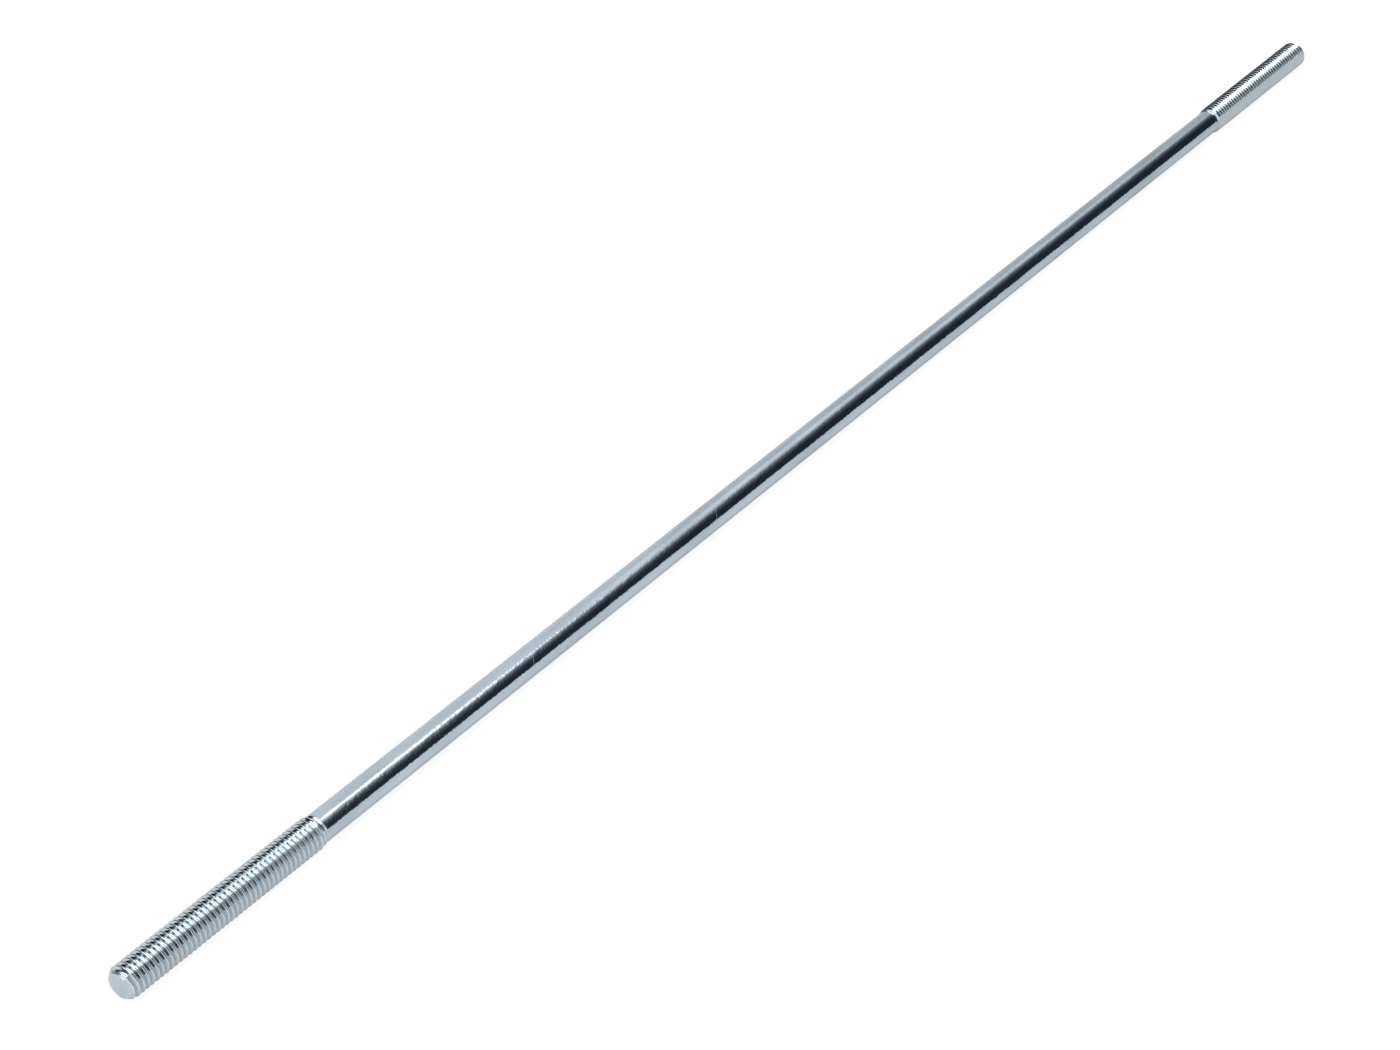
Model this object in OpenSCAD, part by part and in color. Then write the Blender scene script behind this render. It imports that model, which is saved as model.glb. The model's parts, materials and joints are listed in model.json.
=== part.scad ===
// Threaded rod: a bright zinc-plated steel bar with a plain shank in the middle
// and the same rolled right-hand thread on both ends. It is one solid piece.
// The rod lies along +X, with its axis on the X axis and the centre of its
// near end face at the origin. Sizes are in millimetres.

/* [Rod] */
// Overall length, from one flat end face to the other
rod_length = 381; // [160:1:1000]
// How far the shank stays under the thread's diameter at mid flank. The bar is
// drawn to this size, because rolling moves as much metal up as it presses in.
shank_allowance = 0.1; // [0:0.01:0.2]

/* [Thread] */
// Nominal diameter of the thread, from which its flanks are laid out
thread_d = 6; // [5.6:0.05:6.4]
// How far the diameter over the finished crests stays under the nominal one
crest_allowance = 0.1; // [0.02:0.01:0.2]
// Distance along the rod from one crest to the next
pitch = 1; // [0.95:0.05:1.2]
// Length of full thread at the near end, measured from the end face
near_thread_length = 41.5; // [15:0.5:45]
// Length of full thread at the far end, measured from the end face
far_thread_length = 41.5; // [15:0.5:45]
// Length over which the thread runs out into the shank
runout_length = 2; // [1:0.25:2.5]

/* [Ends] */
// Diameter of the flat end face inside the chamfer
end_face_d = 4.5; // [3.6:0.1:4.6]
// Length of the chamfer along the rod
chamfer_length = 1; // [0.5:0.1:1.5]

/* [Hidden] */
$fn = 96;

// A standard 60 degree thread: each flank leans half of that from square, and
// a gap and a ridge are equally wide at mid flank, so these follow the pitch
flank_lean = 30;
mid_flank_depth = 0.32475;
floor_depth = 0.61345;
crest_r = (thread_d - crest_allowance) / 2;
mid_flank_r = thread_d / 2 - mid_flank_depth * pitch;
floor_r = thread_d / 2 - floor_depth * pitch;
shank_r = mid_flank_r - shank_allowance / 2;

// Straight steps in one turn of the groove, and the gap by which the middle of
// each step's open top still clears the crests
turn_steps = 16;
top_clearance = 0.02;
top_r = (crest_r + top_clearance) / cos(180 / turn_steps);

// Places along the rod where its outline changes
near_runout_x = near_thread_length + runout_length;
far_thread_x = rod_length - far_thread_length;
far_runout_x = far_thread_x - runout_length;

// Half of the bar's outline before it is threaded, as [along the rod, radius]
outline = [
    [0, 0],
    [0, end_face_d / 2],
    [chamfer_length, crest_r],
    [near_thread_length, crest_r],
    [near_runout_x, shank_r],
    [far_runout_x, shank_r],
    [far_thread_x, crest_r],
    [rod_length - chamfer_length, crest_r],
    [rod_length, end_face_d / 2],
    [rod_length, 0]
];

// How much wider each side of the groove gets over a rise in radius
function flank_spread(rise) = rise * tan(flank_lean);

// Half the width of the groove's floor
floor_half = pitch / 4 - flank_spread(mid_flank_r - floor_r);

// Radius of the groove's floor at a place along one thread. It is level in the
// full thread, then rises and leaves the bar where the run-out ends.
function floor_at(along, thread_length) =
    let (share = max(0, along - thread_length) / runout_length)
        floor_r + share * (shank_r + top_clearance - floor_r);

// Section across the groove at a place along one thread, as [along, radius]
corners = 4;
function section(along, thread_length) =
    let (low = floor_at(along, thread_length), top_half = floor_half + flank_spread(top_r - low))
        [
            [along - top_half, top_r],
            [along - floor_half, low],
            [along + floor_half, low],
            [along + top_half, top_r]
        ];

// The groove of one thread: its section swept along a right-hand helix, from
// one pitch outside the end face to the end of the run-out
module groove(thread_length) {
    steps = ceil((thread_length + runout_length + pitch) / pitch * turn_steps);
    points = [
        for (i = [0:steps])
            let (turn = 360 * i / turn_steps, along = pitch * (i / turn_steps - 1))
                for (p = section(along, thread_length))
                    [p[0], p[1] * cos(turn), p[1] * sin(turn)]
    ];
    // Each side of the sweep is a strip of triangle pairs between two sections
    sides = [
        for (i = [0:steps - 1])
            for (corner = [0:corners - 1])
                let (a = corners * i + corner, b = corners * i + (corner + 1) % corners)
                    for (triangle = [[a, a + corners, b], [b, a + corners, b + corners]]) triangle
    ];
    first_cap = [for (corner = [0:corners - 1]) corner];
    last_cap = [for (corner = [corners - 1:-1:0]) corners * steps + corner];
    polyhedron(points, concat([first_cap], sides, [last_cap]));
}

// The bar before threading, turned about the X axis from its outline
module bar() {
    rotate([0, 90, 0])
        rotate_extrude()
            polygon([for (p = outline) [p[1], p[0]]]);
}

// The bar with a groove cut into each end. A right-hand helix turned end for
// end is still right-hand, so the far groove is the same shape turned round.
module threaded_rod() {
    color("lightsteelblue")
        difference() {
            bar();
            groove(near_thread_length);
            translate([rod_length, 0, 0])
                rotate([0, 0, 180])
                    groove(far_thread_length);
        }
}

threaded_rod();
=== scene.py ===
# %% [markdown]
# # A zinc-plated threaded rod
# The object is one steel bar. A machine drew it to a smooth round shank, rolled a thread
# onto each end between two dies, and a plating bath left a bright blue-white skin of
# zinc on it. The frame holds its true size. This file makes its skin again, with the round
# roots and soft crests of a rolled thread, and gives it its finish.

# %% Load the frame
import json
import math

import bmesh
import bpy
from mathutils import Matrix, Vector


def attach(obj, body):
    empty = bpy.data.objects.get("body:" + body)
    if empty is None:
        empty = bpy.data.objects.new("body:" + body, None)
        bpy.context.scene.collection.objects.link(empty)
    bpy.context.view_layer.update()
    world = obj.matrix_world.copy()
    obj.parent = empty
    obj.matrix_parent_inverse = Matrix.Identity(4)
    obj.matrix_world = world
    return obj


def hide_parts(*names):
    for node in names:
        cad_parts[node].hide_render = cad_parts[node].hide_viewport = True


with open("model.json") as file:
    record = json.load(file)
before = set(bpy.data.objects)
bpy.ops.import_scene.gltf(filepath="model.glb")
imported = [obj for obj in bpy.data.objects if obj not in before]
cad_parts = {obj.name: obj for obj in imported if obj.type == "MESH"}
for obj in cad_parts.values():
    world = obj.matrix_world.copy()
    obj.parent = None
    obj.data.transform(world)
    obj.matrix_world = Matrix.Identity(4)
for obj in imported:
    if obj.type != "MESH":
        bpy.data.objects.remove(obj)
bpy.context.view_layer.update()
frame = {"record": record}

# %% [markdown]
# ## The rod's measures
# The record's mounts say how thick and how long the threads are, and the rod's box says
# how long it is, so these are read and not typed. What the record doesn't hold, such as
# the shank's radius and the thread's pitch, is named here in metres.

# %% Read the measures
MM = 0.001
mounts = {mount["name"]: mount for mount in frame["record"]["mounts"]}
rod_length = mounts["far_end_face"]["pos_m"][0]
crest_radius = mounts["near_thread"]["dims"]["r_mm"] * MM
crest_stretch = mounts["near_thread"]["dims"]["length_mm"] * MM

shank_radius = 2.625 * MM
end_face_radius = 2.25 * MM
chamfer_length = 1.0 * MM
runout_length = 2.0 * MM
pitch = 1.0 * MM
nominal_radius = 3.0 * MM
mid_flank_depth = 0.32475 * pitch
root_depth = 0.61345 * pitch
mid_flank_radius = nominal_radius - mid_flank_depth
root_radius = nominal_radius - root_depth

full_thread_end = chamfer_length + crest_stretch
thread_end = full_thread_end + runout_length
print("thread ends at", round(thread_end / MM, 2), "mm from the end face")

# %% [markdown]
# ## The camera
# The photograph looks down on the rod from beyond its near end. The lens and the place
# could be guessed and turned by eye, but the rod itself gives them: its two ends, the
# widths of its shank and the pitches of its threads leave only one camera that sees it so.

# %% Place the camera
SENSOR_WIDTH = 36.0
IMAGE_WIDTH = 1400
CLIP_START = 0.01
focal_pixels = 2913.0
camera_place = Vector((-200.1, -253.4, 306.6)) * MM
look_elevation = math.radians(35.574)
look_azimuth = math.radians(36.243)

camera_data = bpy.data.cameras.new("camera")
camera_data.sensor_width = SENSOR_WIDTH
camera_data.lens = focal_pixels * SENSOR_WIDTH / IMAGE_WIDTH
camera_data.clip_start = CLIP_START
camera = bpy.data.objects.new("camera", camera_data)
bpy.context.scene.collection.objects.link(camera)
camera.location = camera_place
camera.rotation_euler = (math.pi / 2 - look_elevation, 0, look_azimuth - math.pi / 2)
bpy.context.scene.camera = camera
print("lens", round(camera_data.lens, 1), "mm")

# %% [markdown]
# ## One pitch of the thread
# A rolled thread has straight flanks that lean 30 degrees, a round root and a nearly
# flat crest with softly rounded edges. Seen along the rod, one pitch of it is a short
# open line. It starts and ends on the middle of a crest, so copies of it join up. Each
# flank gets a point close to either end, which keeps its shading flat between them.

# %% Draw one pitch
FLANK_LEAN = math.radians(30)
FLANK_TURN = math.pi / 2 - FLANK_LEAN
ROOT_ROUND = 0.144 * pitch
CREST_ROUND = 0.08 * pitch
FLANK_GUARD = 0.03 * pitch
ROOT_STEPS = 3
CREST_STEPS = 2


def flank_place(radius):
    """Distance from the middle of the groove to its flank at this radius."""
    return pitch / 4 + (radius - mid_flank_radius) * math.tan(FLANK_LEAN)


def root_arc(steps):
    """Points from the middle of the root out to where it meets the flank."""
    turns = [FLANK_TURN * step / steps for step in range(steps + 1)]
    return [(ROOT_ROUND * math.sin(turn), root_radius + ROOT_ROUND * (1 - math.cos(turn)))
            for turn in turns]


def crest_arc(steps):
    """Points from the flank's top end over the crest's rounded edge."""
    middle = flank_place(crest_radius) + CREST_ROUND * math.tan(FLANK_TURN / 2)
    turns = [FLANK_TURN * (1 - step / steps) for step in range(steps + 1)]
    return [(middle - CREST_ROUND * math.sin(turn),
             crest_radius - CREST_ROUND * (1 - math.cos(turn))) for turn in turns]


def groove_side():
    """Points from the middle of the groove up to the middle of the crest."""
    root = root_arc(ROOT_STEPS)
    crest = crest_arc(CREST_STEPS)
    guards = [root[-1][1] + FLANK_GUARD, crest[0][1] - FLANK_GUARD]
    flank = [(flank_place(radius), radius) for radius in guards]
    return root + flank + crest + [(pitch / 2, crest_radius)]


def one_pitch():
    """Points of the whole pitch, from crest to crest, with the groove at zero."""
    side = groove_side()
    left = [(-along, radius) for along, radius in reversed(side)]
    return left + side[1:]


print("points in one pitch:", len(one_pitch()))

# %% [markdown]
# ## The threaded end
# A screw is a spin that also moves along its axis. A groove could be cut out of a round
# bar, but that leaves long thin faces that shade badly. So one turn is spun from the
# pitch line, and copies of the turn, each one pitch further on, make the whole helix.
# The chamfer and the run-out are then pressed into it: no point stands further out than
# the cone of the chamfer, and past the full thread the flanks fade into the shank.

# %% Spin one turn and copy it
STEPS_PER_TURN = 48
HELIX_START = -1.5 * pitch
SPARE_TURNS = 3
MERGE_GAP = 0.001 * pitch


def spun_turn(bm, start):
    """One turn of the thread, with its groove at start on the +Y side."""
    points = [bm.verts.new((start + along, radius, 0)) for along, radius in one_pitch()]
    line = [bm.edges.new(pair) for pair in zip(points, points[1:])]
    bmesh.ops.spin(
        bm, geom=points + line, cent=(0, 0, 0), axis=(1, 0, 0), angle=2 * math.pi,
        dvec=(pitch / STEPS_PER_TURN, 0, 0), steps=STEPS_PER_TURN,
    )


def whole_helix(bm, turns):
    """The turn and its copies, joined where they meet."""
    spun_turn(bm, HELIX_START)
    turn = bm.verts[:] + bm.edges[:] + bm.faces[:]
    for number in range(1, turns):
        copy = bmesh.ops.duplicate(bm, geom=turn)["geom"]
        moved = [part for part in copy if isinstance(part, bmesh.types.BMVert)]
        bmesh.ops.translate(bm, verts=moved, vec=(number * pitch, 0, 0))
    bmesh.ops.remove_doubles(bm, verts=bm.verts[:], dist=MERGE_GAP)


# %% Press in the chamfer and the run-out
def smooth_step(share):
    """A share from 0 to 1, eased at both ends."""
    share = min(1.0, max(0.0, share))
    return share * share * (3 - 2 * share)


def pressed_radius(along, radius):
    """Where the dies and the chamfer leave a point of the thread."""
    cone = end_face_radius + (crest_radius - end_face_radius) * max(along, 0) / chamfer_length
    fade = smooth_step((along - full_thread_end) / runout_length)
    return min(cone, radius + (shank_radius - radius) * fade)


def press_ends(bm):
    """Move each point of the helix in or out to its pressed radius."""
    for vert in bm.verts:
        radius = math.hypot(vert.co.y, vert.co.z)
        share = pressed_radius(vert.co.x, radius) / radius
        vert.co.y *= share
        vert.co.z *= share


# %% Cut the threaded end to length
CUT_REACH = 1e-8
RIM_REACH = 1e-7
TURN_SLACK = 0.01


def cut_at(bm, along, side):
    """Cut the mesh square across the rod and drop what lies past the cut."""
    bmesh.ops.bisect_plane(
        bm, geom=bm.verts[:] + bm.edges[:] + bm.faces[:], dist=CUT_REACH,
        plane_co=(along, 0, 0), plane_no=(side, 0, 0), clear_outer=True,
    )


def tidy_rim(bm, along):
    """Keep only the rim's evenly spaced points, where the spin's own lines end."""
    step = 2 * math.pi / STEPS_PER_TURN
    rim = [vert for vert in bm.verts if abs(vert.co.x - along) < RIM_REACH]
    uneven = []
    for vert in rim:
        turn = math.atan2(vert.co.z, vert.co.y) / step
        if abs(turn - round(turn)) > TURN_SLACK:
            uneven.append(vert)
    bmesh.ops.dissolve_verts(bm, verts=uneven)


def threaded_end():
    """One threaded end with an open rim at the shank, as a bmesh."""
    bm = bmesh.new()
    turns = math.ceil(thread_end / pitch) + SPARE_TURNS
    whole_helix(bm, turns)
    press_ends(bm)
    cut_at(bm, thread_end, 1)
    cut_at(bm, 0, -1)
    tidy_rim(bm, thread_end)
    tidy_rim(bm, 0)
    return bm


near_end = threaded_end()
print("faces in one threaded end:", len(near_end.faces))

# %% [markdown]
# ## The end face
# The bar was sheared and its face left nearly flat inside the chamfer. A bevel could
# round its edge. Here the open rim is filled and the fill is inset twice instead, because
# that also gives the face a flat middle of its own, which keeps its shading flat.

# %% Fill the end face
EDGE_ROUND = 0.06 * MM
EDGE_HALF = 0.5 * EDGE_ROUND
EDGE_SAG = 0.12 * EDGE_ROUND


def fill_end_face(bm):
    """Close the rim at the end face with a rounded edge."""
    rim = [edge for edge in bm.edges if edge.is_boundary and
           all(abs(vert.co.x) < RIM_REACH for vert in edge.verts)]
    face = bmesh.ops.edgeloop_fill(bm, edges=rim)["faces"]
    for vert in face[0].verts:
        vert.co.x += EDGE_HALF
    bmesh.ops.inset_region(bm, faces=face, thickness=EDGE_HALF, depth=0)
    for vert in face[0].verts:
        vert.co.x = EDGE_SAG
    bmesh.ops.inset_region(bm, faces=face, thickness=EDGE_ROUND, depth=0)
    for vert in face[0].verts:
        vert.co.x = 0.0


fill_end_face(near_end)

# %% [markdown]
# ## The whole rod
# A mirrored copy would be the simplest far end, but its thread would be left-hand. Turned
# end for end, a right-hand thread is still a right-hand thread. So the far end is a copy
# of the near one, turned half a turn about the upright axis at the rod's middle. The
# shank then bridges the two open rims, and the rod is one closed skin.

# %% Join both ends with the shank
def open_rim(bm):
    """The edges that still have only one face."""
    return [edge for edge in bm.edges if edge.is_boundary]


def joined_rod(bm):
    """Add the far end and the shank to the near end."""
    near_part = bm.verts[:] + bm.edges[:] + bm.faces[:]
    far_part = bmesh.ops.duplicate(bm, geom=near_part)["geom"]
    far_points = [part for part in far_part if isinstance(part, bmesh.types.BMVert)]
    end_for_end = Matrix.Translation((rod_length, 0, 0)) @ Matrix.Rotation(math.pi, 4, "Z")
    bmesh.ops.transform(bm, matrix=end_for_end, verts=far_points)
    bmesh.ops.bridge_loops(bm, edges=open_rim(bm))
    bmesh.ops.recalc_face_normals(bm, faces=bm.faces[:])


joined_rod(near_end)
print("open edges left:", len(open_rim(near_end)))

# %% Make it an object
def finished_object(bm, name):
    """Turn the bmesh into a smooth-shaded object of the scene."""
    for face in bm.faces:
        face.smooth = True
    mesh = bpy.data.meshes.new(name)
    bm.to_mesh(mesh)
    bm.free()
    piece = bpy.data.objects.new(name, mesh)
    bpy.context.scene.collection.objects.link(piece)
    return piece


rod = finished_object(near_end, "plated_rod")
rod.data.calc_loop_triangles()
print("triangles in the rod:", len(rod.data.loop_triangles))

# %% [markdown]
# ## Writing shaders as sums
# Nodes could be added and linked one by one, but a mask is easier to read and to change
# as the arithmetic it is. So a small class wraps a socket and overloads the operators.
# Any other node comes from one method. The Mix node has a set of sockets for each kind
# of value, with the same names in each set, so its colour ones are known by number.

# %% Wrap sockets
MIX_FACTOR = 0
MIX_DARK = 6
MIX_LIGHT = 7
MIX_COLOUR = 2


class Wire:
    """A socket's output that can be added, subtracted and multiplied."""

    def __init__(self, tree, socket):
        self.tree = tree
        self.socket = socket

    def node(self, kind, settings=None, values=None, out=0):
        """Add a node, set it up, fill its inputs and give one of its outputs."""
        made = self.tree.nodes.new(kind)
        for key, value in (settings or {}).items():
            setattr(made, key, value)
        for key, value in (values or {}).items():
            self.tree_link(made.inputs[key], value)
        return Wire(self.tree, made.outputs[out])

    def tree_link(self, socket, value):
        """Link a wire to the socket, or write a number or a colour to it."""
        if isinstance(value, Wire):
            self.tree.links.new(value.socket, socket)
        else:
            socket.default_value = value

    def outs(self, kind, settings=None, values=None):
        """Add a node as above and give all of its outputs."""
        made = self.node(kind, settings, values).socket.node
        return [Wire(self.tree, socket) for socket in made.outputs]

    def maths(self, operation, other):
        """One Math node."""
        return self.node("ShaderNodeMath", {"operation": operation}, {0: self, 1: other})

    def __add__(self, other):
        return self.maths("ADD", other)

    __radd__ = __add__

    def __sub__(self, other):
        return self.maths("SUBTRACT", other)

    def __rsub__(self, other):
        return self * -1 + other

    def __mul__(self, other):
        return self.maths("MULTIPLY", other)

    __rmul__ = __mul__

    def ramp(self, low, high):
        """Turn values from low to high into values from 0 to 1, smoothly."""
        return self.node("ShaderNodeMapRange", {"interpolation_type": "SMOOTHSTEP"},
                         {"Value": self, "From Min": low, "From Max": high})

    def past(self, place, edge):
        """0 before a place and 1 after it, easing over its edge. A negative edge swaps them."""
        return self.ramp(place - edge, place + edge)

    def within(self, span, edge):
        """1 between the two ends of a span and 0 outside it, easing at both."""
        return self.past(span[0], edge) * self.past(span[1], -edge)

    def mix(self, low, high):
        """The number low where this value is 0, and high where it is 1."""
        return self * high + (1 - self) * low

    def blend(self, dark, light):
        """Mix two colours by this value, which can also be more than 1."""
        return self.node("ShaderNodeMix", {"data_type": "RGBA", "clamp_factor": False},
                         {MIX_FACTOR: self, MIX_DARK: dark, MIX_LIGHT: light},
                         out=MIX_COLOUR)


def start_of(tree):
    """A wire that only serves to add nodes to this tree."""
    return Wire(tree, None)


# %% [markdown]
# ## Bright zinc
# Bright zinc is a mirror with a cool tint. The drawn shank is not perfectly smooth, so
# its reflections have grainy edges. The dies left the thread a little duller, its roots
# are darkened with painted shade, and two light scratches cross the shank. The end faces
# are satin, and the plating is chipped white around their rims. A painted picture would
# need the skin unwrapped first, so each mark is a mask worked out from its place along
# and around the rod instead. All of it reads Object coordinates, so it stays where it is on the
# rod.

# %% Name the colours and marks
ZINC_LIGHT = (0.585, 0.675, 0.755, 1.0)
ZINC_DULL = (0.50, 0.585, 0.66, 1.0)
THREAD_LIGHT = (0.63, 0.705, 0.755, 1.0)
# Painted shade: a grey-blue that darkens the thread's roots in place of the shade that falls in
# the grooves.
ROOT_PAINTED_SHADE = (0.30, 0.355, 0.41, 1.0)
END_LIGHT = (0.61, 0.71, 0.78, 1.0)
CHIP_WHITE = (0.92, 0.94, 0.96, 1.0)
SCRATCHES = (94.2 * MM, 146.8 * MM)
SCRATCH_WIDTH = 0.12 * MM
SCRATCH_LEAN = 1.6 * MM
SCRATCH_TURN = (0.35, 1.25)
SCRATCH_FADE = 0.15
SATIN_DEPTH = 0.3 * MM
SATIN_EDGE = 0.8 * SATIN_DEPTH
CHIPS_INNER_RADIUS = 1.5 * MM
CHIPS_DEPTH = 0.7 * MM
CHIPS_EDGE = 0.5 * CHIPS_DEPTH
CLOUD_CELLS = (60, 300)
GRAIN_CELLS = (2200, 2600)
WAVE_CELLS = (700, 1000)
CHIP_CELLS = (2200, 2200)
CLOUD_DETAIL = 3.0
WAVE_DETAIL = 3.0
CLOUD_RANGE = (0.35, 0.7)
CHIP_RANGE = (0.45, 0.65)
ROOT_PAINTED_SHADE_SHARE = 0.5
CHIP_WHITE_SHARE = 0.6
BUMP_DEPTH = 0.05 * MM
BUMP_STRENGTH = 0.65
GRAIN_HEIGHT = 0.5
THREAD_CALM = 0.6
CHIP_HEIGHT = 0.8

# %% [markdown]
# How dull each part is. The shank starts as nearly a mirror, and each mask adds its share
# to that, so a scratch on a cloud is duller than either alone.

# %% Name the dullness of each part
SHANK_DULL = 0.06
CLOUD_DULL = 0.06
THREAD_DULL = 0.02
ROOT_DULL = 0.05
SCRATCH_DULL = 0.35
END_DULL = 0.2


# %% Make the zinc
def noise(place, cells, detail=2.0):
    """A soft grey noise, given its cells for each metre along and around the rod."""
    along, around = cells
    scale = (along, around, around)
    stretched = place.node("ShaderNodeMapping", {}, {"Vector": place, "Scale": scale})
    return place.node("ShaderNodeTexNoise", {},
                      {"Vector": stretched, "Scale": 1.0, "Detail": detail})


def scratch(along, turn, start):
    """1 on a fine line that winds part of the way round the shank."""
    distance = (along - start - turn * SCRATCH_LEAN).maths("ABSOLUTE", 0.0)
    return distance.ramp(SCRATCH_WIDTH, 0.0) * turn.within(SCRATCH_TURN, SCRATCH_FADE)


def zinc_material():
    """The plated steel of the whole rod."""
    material = bpy.data.materials.new("bright_zinc")
    material.use_nodes = True
    tree = material.node_tree
    shader = tree.nodes["Principled BSDF"]
    shader.inputs["Metallic"].default_value = 1.0
    wire = start_of(tree)
    place = wire.node("ShaderNodeTexCoord", out="Object")
    along, across, up = wire.outs("ShaderNodeSeparateXYZ", {}, {0: place})

    radius = (across * across + up * up).maths("SQRT", 0.0)
    turn = up.maths("ARCTAN2", across * -1)
    from_end = along.maths("MINIMUM", rod_length - along)
    thread = from_end.ramp(thread_end, full_thread_end)
    root = radius.ramp(shank_radius, root_radius) * thread
    end = from_end.past(SATIN_DEPTH, -SATIN_EDGE)
    rim = radius.ramp(CHIPS_INNER_RADIUS, end_face_radius)
    rim = rim * from_end.past(CHIPS_DEPTH, -CHIPS_EDGE)
    scratches = scratch(along, turn, SCRATCHES[0]) + scratch(along, turn, SCRATCHES[1])

    clouds = noise(place, CLOUD_CELLS, CLOUD_DETAIL)
    grain = noise(place, GRAIN_CELLS)
    waves = noise(place, WAVE_CELLS, WAVE_DETAIL)
    chips = noise(place, CHIP_CELLS).ramp(*CHIP_RANGE) * rim

    colour = clouds.ramp(*CLOUD_RANGE).blend(ZINC_LIGHT, ZINC_DULL)
    colour = thread.blend(colour, THREAD_LIGHT)
    # Painted shade: the thread's roots are darkened towards a grey-blue, standing in for the
    # shade in the grooves.
    colour = (root * ROOT_PAINTED_SHADE_SHARE).blend(colour, ROOT_PAINTED_SHADE)
    colour = end.blend(colour, END_LIGHT)
    colour = (chips * CHIP_WHITE_SHARE).blend(colour, CHIP_WHITE)
    roughness = SHANK_DULL + clouds * CLOUD_DULL + thread * THREAD_DULL + root * ROOT_DULL
    roughness = roughness + scratches * SCRATCH_DULL + end * END_DULL
    height = (grain * GRAIN_HEIGHT + waves) * (1 - thread * THREAD_CALM)
    height = height + chips * CHIP_HEIGHT
    bump = wire.node("ShaderNodeBump", {}, {
        "Height": height, "Strength": BUMP_STRENGTH, "Distance": BUMP_DEPTH})
    wire.tree_link(shader.inputs["Base Color"], colour)
    wire.tree_link(shader.inputs["Roughness"], roughness)
    wire.tree_link(shader.inputs["Normal"], bump)
    return material


rod.data.materials.append(zinc_material())

# %% [markdown]
# ## The studio
# The rod is a mirror, so the photograph's studio can be read off it. A pale sweep stands
# behind the rod, and the camera's side is a dark room. Panels stand around them: a wall
# with a dark corner and a doorway, a soft box beyond the near end, a soft box overhead,
# and dark gaps between them. They could be lamps and cards around the rod, but worked out
# in the world they light it from far away, cost no time and are moved by two spans.
# Over is the angle of a direction in degrees, from the level on the camera's side, over
# the top, to the level behind the rod. Along is its share that follows the rod. Each
# panel has a brightness and a span of both, and a later one hides an earlier one.

# %% Name the panels
ANY = 2.0
OVER_EDGE = 4.0
ALONG_EDGE = 0.02
DARK = 0.02
PANELS = {
    "wall beyond the near end": (1.0, (-3, 84), (-ANY, 0.30)),
    "corner in that wall": (0.05, (21, 64), (-0.20, 0.10)),
    "soft box overhead": (4.0, (63, 120), (-0.18, 0.34)),
    "soft box beyond the near end": (2.4, (68, 121), (-ANY, -0.69)),
    "gap behind that box": (DARK, (112, 138), (-ANY, -0.40)),
    "doorway in that wall": (DARK, (-30, 80), (-ANY, -0.866)),
    "gap behind the rod": (DARK, (132, 172), (-ANY, 0.48)),
    "gap beside the sweep": (DARK, (95, 166), (0.32, 0.468)),
}
print("panels in the studio:", len(PANELS))

# %% [markdown]
# The sweep gets darker towards the far end, with a soft glow in its middle. The dark
# room's upper edge climbs towards the far end, and it ends in a haze. A narrow strip of
# light runs between the room and the sweep. Each has its own spans of over and along,
# and raised is over, measured from the slope of the room's edge. All of these feed the
# Background's colour, so that its strength stays 1, and the camera sees plain white.

# %% Name the sweep, the room and the strip
WHITE = (1.0, 1.0, 1.0, 1.0)
ROOM_BLACK = (0.0, 0.006, 0.018, 1.0)

SWEEP_NEAR = 0.85
SWEEP_FAR = 0.52
SWEEP_ALONG = (0.855, 0.48)
SWEEP_GLOW = 0.24
GLOW_OVER = (91, 122)
GLOW_OVER_EDGE = 10
GLOW_ALONG = (0.62, 0.78)
GLOW_ALONG_EDGE = 0.04

ROOM_TOP = 63.3
ROOM_TOP_EDGE = 15
ROOM_CLIMB = 107.0
ROOM_MIDDLE = 0.5
ROOM_FLOOR_EDGE = 5
ROOM_START = 0.45
ROOM_START_EDGE = 0.03
ROOM_HAZE = 0.16
HAZE_RAISED = (21, 71)

STRIP_LIGHT = 2.5
STRIP_OVER = (77, 93)
STRIP_OVER_EDGE = 3
STRIP_START = 0.505
STRIP_START_EDGE = 0.02
STRIP_END = 0.572
STRIP_END_EDGE = 0.05

# %% Build the world
bpy.context.scene.view_settings.view_transform = "Standard"


def sweep_and_room(over, along):
    """The pale sweep behind the rod and the dark room on the camera's side."""
    glow = over.within(GLOW_OVER, GLOW_OVER_EDGE) * along.within(GLOW_ALONG, GLOW_ALONG_EDGE)
    sweep = along.ramp(*SWEEP_ALONG).mix(SWEEP_FAR, SWEEP_NEAR) + glow * SWEEP_GLOW
    raised = over - (along - ROOM_MIDDLE) * ROOM_CLIMB
    haze = raised.ramp(*HAZE_RAISED) * ROOM_HAZE + DARK
    room = over.past(0, ROOM_FLOOR_EDGE) * raised.past(ROOM_TOP, -ROOM_TOP_EDGE)
    room = room * along.past(ROOM_START, ROOM_START_EDGE)
    return room.mix(sweep, haze)


def light_strip(over, along):
    """1 on the narrow strip of light between the room and the sweep."""
    strip = over.within(STRIP_OVER, STRIP_OVER_EDGE) * along.past(STRIP_START, STRIP_START_EDGE)
    return strip * along.past(STRIP_END, -STRIP_END_EDGE)


def studio_light(direction):
    """How bright the studio is in each direction from the rod."""
    along, across, up = direction.outs("ShaderNodeSeparateXYZ", {}, {0: direction})
    over = up.maths("ARCTAN2", across * -1) * math.degrees(1)
    light = sweep_and_room(over, along)
    for brightness, over_span, along_span in PANELS.values():
        panel = over.within(over_span, OVER_EDGE) * along.within(along_span, ALONG_EDGE)
        light = panel.mix(light, brightness)
    return light_strip(over, along).mix(light, STRIP_LIGHT)


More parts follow.
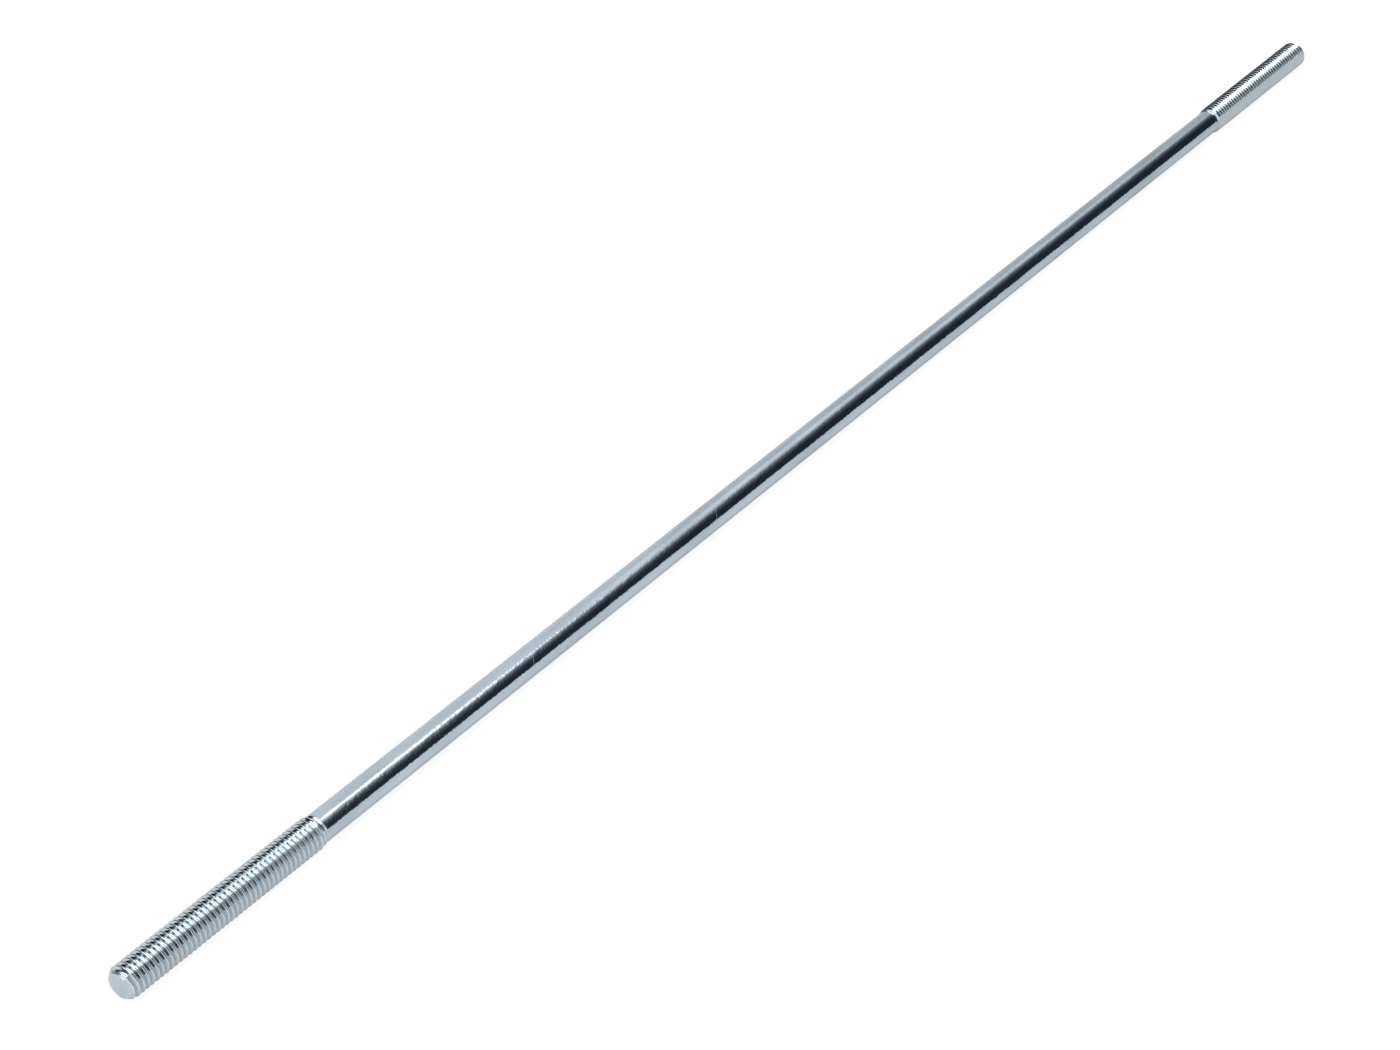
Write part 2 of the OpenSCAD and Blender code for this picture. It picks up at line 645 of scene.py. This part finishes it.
def build_world():
    """The studio to the rod, and plain white to the camera."""
    world = bpy.data.worlds.new("studio")
    bpy.context.scene.world = world
    world.use_nodes = True
    background = world.node_tree.nodes["Background"]
    wire = start_of(world.node_tree)
    direction = wire.node("ShaderNodeTexCoord", out="Generated")
    camera_ray = wire.node("ShaderNodeLightPath", out="Is Camera Ray")
    seen = camera_ray.mix(studio_light(direction), 1.0)
    wire.tree_link(background.inputs["Color"], seen.blend(ROOM_BLACK, WHITE))


build_world()

# %% [markdown]
# ## The paper
# The rod lies on white paper that fades into the backdrop. A bright lamp could wash it
# out to white, but that would light the rod too. So the paper shows plain white to the
# camera, with a share of its real shading left in for the rod's soft shadow. The metal
# mirrors half its real shading and half a plain tone that gets darker towards the far end.

# %% Lay the floor
FLOOR_HALF = 3.0
PAPER_COLOUR = (0.9, 0.9, 0.9, 1.0)
SHADOW_SHARE = 0.2
FLOOR_TO_CAMERA = 1.1
FLOOR_IN_METAL = 0.62
FAR_FLOOR = (0.55, 0.55, 0.55, 1.0)
MIRROR_SHARE = 0.5


def paper_material():
    """White paper: white to the camera with a soft shadow, and pale in the metal."""
    material = bpy.data.materials.new("paper")
    material.use_nodes = True
    tree = material.node_tree
    wire = start_of(tree)
    paper = tree.nodes["Principled BSDF"]
    paper.inputs["Base Color"].default_value = PAPER_COLOUR
    paper.inputs["Roughness"].default_value = 1.0
    paper.inputs["Specular IOR Level"].default_value = 0.0
    camera_ray = wire.node("ShaderNodeLightPath", out="Is Camera Ray")
    mirror_ray = wire.node("ShaderNodeLightPath", out="Is Glossy Ray")
    place = wire.node("ShaderNodeTexCoord", out="Object")
    along = wire.node("ShaderNodeSeparateXYZ", {}, {0: place}, out="X")
    in_metal = along.ramp(rod_length, 0.0).blend(FAR_FLOOR, WHITE)
    seen = Wire(tree, paper.outputs[0])
    for share, colour, strength in (
            (mirror_ray * MIRROR_SHARE, in_metal, FLOOR_IN_METAL),
            (camera_ray * (1 - SHADOW_SHARE), WHITE, FLOOR_TO_CAMERA)):
        plain = wire.node("ShaderNodeEmission", {}, {"Color": colour, "Strength": strength})
        seen = wire.node("ShaderNodeMixShader", {}, {0: share, 1: seen, 2: plain})
    wire.tree_link(tree.nodes["Material Output"].inputs["Surface"], seen)
    return material


def lay_floor():
    """A wide sheet of paper under the rod."""
    bm = bmesh.new()
    bmesh.ops.create_grid(bm, x_segments=1, y_segments=1, size=FLOOR_HALF)
    bmesh.ops.translate(bm, verts=bm.verts[:], vec=(0, 0, -crest_radius))
    mesh = bpy.data.meshes.new("floor")
    bm.to_mesh(mesh)
    bm.free()
    floor = bpy.data.objects.new("floor", mesh)
    floor.data.materials.append(paper_material())
    bpy.context.scene.collection.objects.link(floor)


lay_floor()

# %% Hand the rod over
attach(rod, "root")
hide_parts("threaded_rod")
